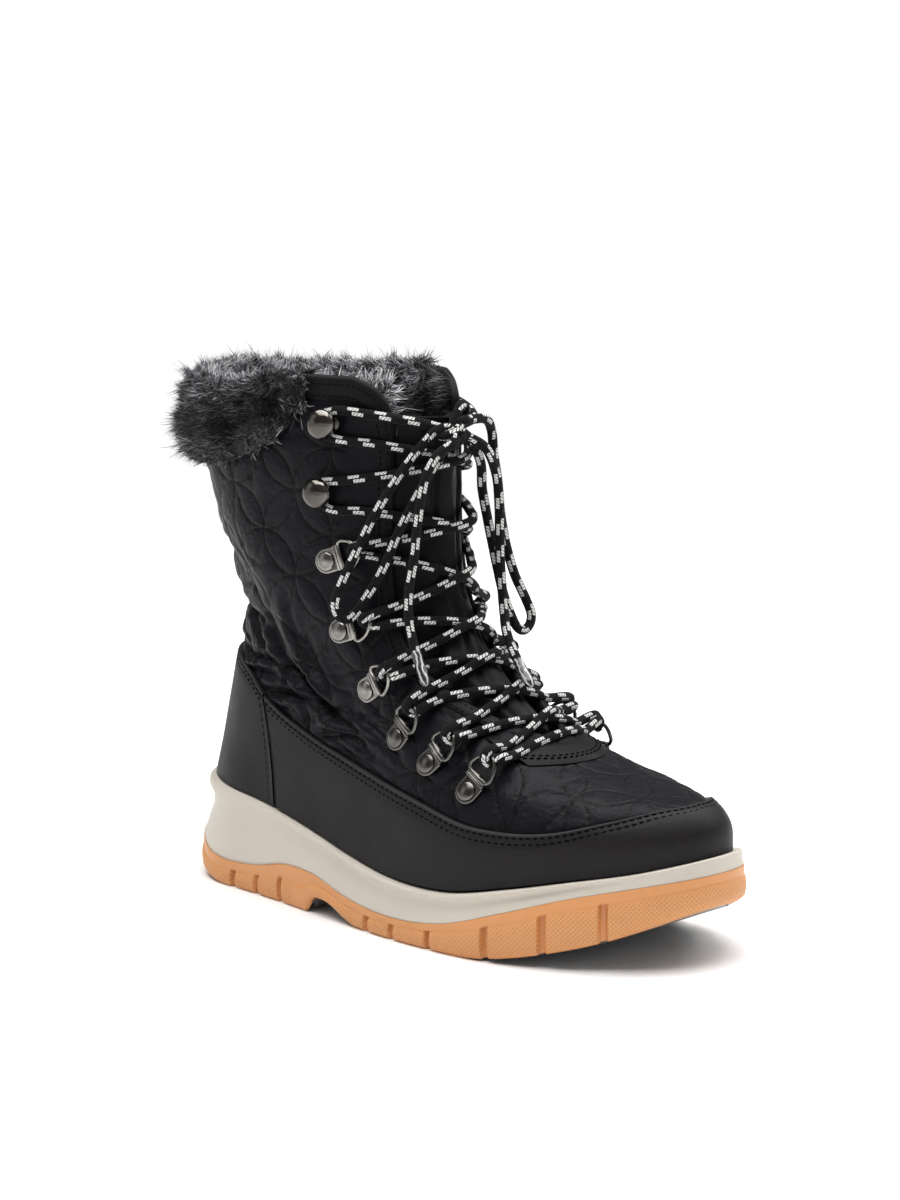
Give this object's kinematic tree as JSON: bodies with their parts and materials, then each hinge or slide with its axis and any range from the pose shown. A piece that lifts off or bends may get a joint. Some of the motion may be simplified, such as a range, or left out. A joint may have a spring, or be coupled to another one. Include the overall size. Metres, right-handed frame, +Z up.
{
  "type": "winter boot",
  "caption": "Lace-up winter boot for the right foot: gum lug outsole, pale midsole, quilted upper with a leather rand, lace rings and hooks, and a fur cuff.",
  "frame": {"origin": "on the floor, under the middle of the boot's own box, without the free lace", "axes": "+X from heel to toe, +Y to the medial side of this right boot, +Z up"},
  "size_m": [0.2886, 0.1088, 0.2343],
  "materials": {
    "gum_rubber": "matte gum rubber",
    "midsole_rubber": "matte moulded rubber",
    "insole_felt": "felt",
    "quilted_nylon": "quilted nylon with a soft sheen",
    "coated_leather": "matte coated leather",
    "fur_pile": "long pile",
    "gunmetal": "dark antique plating",
    "lace_cord": "braided round cord with pale flecks"
  },
  "bodies": {
    "root": {"outsole": "gum_rubber", "midsole": "midsole_rubber", "insole": "insole_felt", "upper": "quilted_nylon", "throat_band": "quilted_nylon", "tongue": "quilted_nylon", "rand": "coated_leather", "heel_counter": "coated_leather", "fur_cuff": "fur_pile", "loop_plate_lateral_1": "gunmetal", "d_ring_lateral_1": "gunmetal", "loop_plate_lateral_2": "gunmetal", "d_ring_lateral_2": "gunmetal", "loop_plate_lateral_3": "gunmetal", "d_ring_lateral_3": "gunmetal", "loop_plate_lateral_4": "gunmetal", "d_ring_lateral_4": "gunmetal", "loop_plate_lateral_5": "gunmetal", "d_ring_lateral_5": "gunmetal", "loop_plate_lateral_6": "gunmetal", "d_ring_lateral_6": "gunmetal", "loop_plate_medial_1": "gunmetal", "d_ring_medial_1": "gunmetal", "loop_plate_medial_2": "gunmetal", "d_ring_medial_2": "gunmetal", "loop_plate_medial_3": "gunmetal", "d_ring_medial_3": "gunmetal", "loop_plate_medial_4": "gunmetal", "d_ring_medial_4": "gunmetal", "loop_plate_medial_5": "gunmetal", "d_ring_medial_5": "gunmetal", "loop_plate_medial_6": "gunmetal", "d_ring_medial_6": "gunmetal", "hook_lateral_1": "gunmetal", "hook_lateral_2": "gunmetal", "hook_medial_1": "gunmetal", "hook_medial_2": "gunmetal", "lace_bar": "lace_cord", "lace_crossing_1": "lace_cord", "lace_crossing_2": "lace_cord", "lace_crossing_3": "lace_cord", "lace_crossing_4": "lace_cord", "lace_crossing_5": "lace_cord", "lace_crossing_6": "lace_cord", "lace_crossing_7": "lace_cord", "lace_top_lateral": "lace_cord", "lace_top_medial": "lace_cord", "lace_knot": "lace_cord", "lace_loop_left": "lace_cord", "lace_end_left": "lace_cord", "lace_loop_right": "lace_cord", "lace_end_right": "lace_cord"}
  },
  "joints": []
}
